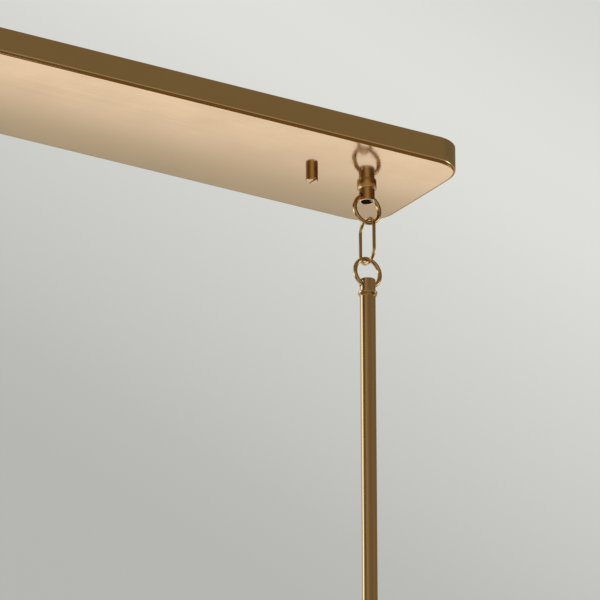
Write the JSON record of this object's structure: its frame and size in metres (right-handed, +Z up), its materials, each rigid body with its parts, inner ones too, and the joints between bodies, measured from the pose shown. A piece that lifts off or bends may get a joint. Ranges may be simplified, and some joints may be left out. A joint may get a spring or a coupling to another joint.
{
  "type": "linear island pendant",
  "caption": "Linear island pendant: a long shallow brass ceiling canopy, ring-and-link hangers on brass stems, and a straight rail of downlights under clear glass cylinder shades.",
  "frame": {"origin": "middle of the ceiling plane, at the centre of the mounting strap's ceiling-box slots, level with the canopy's rim", "axes": "+X along the canopy and the rail, -Y to the front, +Z up into the ceiling"},
  "size_m": [0.8236, 0.1524, 0.7941],
  "materials": {
    "satin_brass": "satin natural brass, lacquered",
    "plain_brass": "plain stamped brass",
    "nickel_base": "bright screw base",
    "zinc_steel": "zinc-plated steel",
    "green_paint": "green ground screw",
    "black_moulding": "black moulded lampholder",
    "filament": "phosphor-coated filament",
    "clear_glass": "clear polished glass",
    "bulb_glass": "clear bulb glass"
  },
  "bodies": {
    "canopy": {"canopy": "satin_brass", "canopy_studs": "zinc_steel", "ground_screw": "green_paint", "hang_cap_left": "satin_brass", "hang_cap_right": "satin_brass", "hang_nipples": "zinc_steel", "knob_left": "satin_brass", "knob_right": "satin_brass", "lock_washers": "zinc_steel", "mounting_strap": "zinc_steel", "nipple_nuts": "zinc_steel", "stud_nuts": "zinc_steel"},
    "link_left": {"link_left": "satin_brass"},
    "link_right": {"link_right": "satin_brass"},
    "lower_ring_left": {"lower_ring_left": "satin_brass"},
    "lower_ring_right": {"lower_ring_right": "satin_brass"},
    "upper_ring_left": {"upper_ring_left": "satin_brass"},
    "upper_ring_right": {"upper_ring_right": "satin_brass"},
    "hung_frame": {"bulb_base_centre": "nickel_base", "bulb_base_left": "nickel_base", "bulb_base_right": "nickel_base", "bulb_filament_centre": "filament", "bulb_filament_left": "filament", "bulb_filament_right": "filament", "bulb_glass_centre": "bulb_glass", "bulb_glass_left": "bulb_glass", "bulb_glass_right": "bulb_glass", "cap_nipples": "zinc_steel", "hub_centre": "satin_brass", "hub_left": "satin_brass", "hub_nipples": "zinc_steel", "hub_right": "satin_brass", "hub_set_screws": "zinc_steel", "lampholder_centre": "black_moulding", "lampholder_left": "black_moulding", "lampholder_right": "black_moulding", "lower_stem_left": "satin_brass", "lower_stem_right": "satin_brass", "rail_finial_left": "satin_brass", "rail_finial_right": "satin_brass", "rail_tube": "satin_brass", "screw_shell_centre": "plain_brass", "screw_shell_left": "plain_brass", "screw_shell_right": "plain_brass", "shade_centre": "clear_glass", "shade_left": "clear_glass", "shade_right": "clear_glass", "shade_ring_centre": "satin_brass", "shade_ring_left": "satin_brass", "shade_ring_right": "satin_brass", "socket_cup_centre": "satin_brass", "socket_cup_left": "satin_brass", "socket_cup_right": "satin_brass", "stem_cap_left": "satin_brass", "stem_cap_right": "satin_brass", "stem_coupler_left": "satin_brass", "stem_coupler_right": "satin_brass", "upper_stem_left": "satin_brass", "upper_stem_right": "satin_brass"}
  },
  "joints": [
    {"name": "upper_ring_left_swing", "type": "hinge", "parent": "canopy", "child": "upper_ring_left", "pos_m": [-0.3356, 0, -0.0288], "axis": [1, 0, 0], "range_deg": [-30, 30]},
    {"name": "link_left_sway", "type": "hinge", "parent": "upper_ring_left", "child": "link_left", "pos_m": [-0.3356, 0, -0.03762], "axis": [0, 1, 0], "range_deg": [-20, 20]},
    {"name": "lower_ring_left_level", "type": "hinge", "parent": "link_left", "child": "lower_ring_left", "pos_m": [-0.3356, 0, -0.08538], "axis": [0, 1, 0], "range_deg": [-20, 20]},
    {"name": "frame_tilt", "type": "hinge", "parent": "lower_ring_left", "child": "hung_frame", "pos_m": [-0.3356, 0, -0.0942], "axis": [1, 0, 0], "range_deg": [-30, 30]},
    {"name": "upper_ring_right_swing", "type": "hinge", "parent": "canopy", "child": "upper_ring_right", "pos_m": [0.3356, 0, -0.0288], "axis": [1, 0, 0], "range_deg": [-30, 30]},
    {"name": "link_right_sway", "type": "hinge", "parent": "upper_ring_right", "child": "link_right", "pos_m": [0.3356, 0, -0.03762], "axis": [0, 1, 0], "range_deg": [-20, 20]},
    {"name": "lower_ring_right_tilt", "type": "hinge", "parent": "hung_frame", "child": "lower_ring_right", "pos_m": [0.3356, 0, -0.0942], "axis": [1, 0, 0], "range_deg": [-30, 30]}
  ],
  "couplings": [
    {"joint": "lower_ring_left_level", "follows": "link_left_sway", "ratio": -1},
    {"joint": "upper_ring_right_swing", "follows": "upper_ring_left_swing", "ratio": 1},
    {"joint": "link_right_sway", "follows": "link_left_sway", "ratio": 1},
    {"joint": "lower_ring_right_tilt", "follows": "frame_tilt", "ratio": -1}
  ]
}
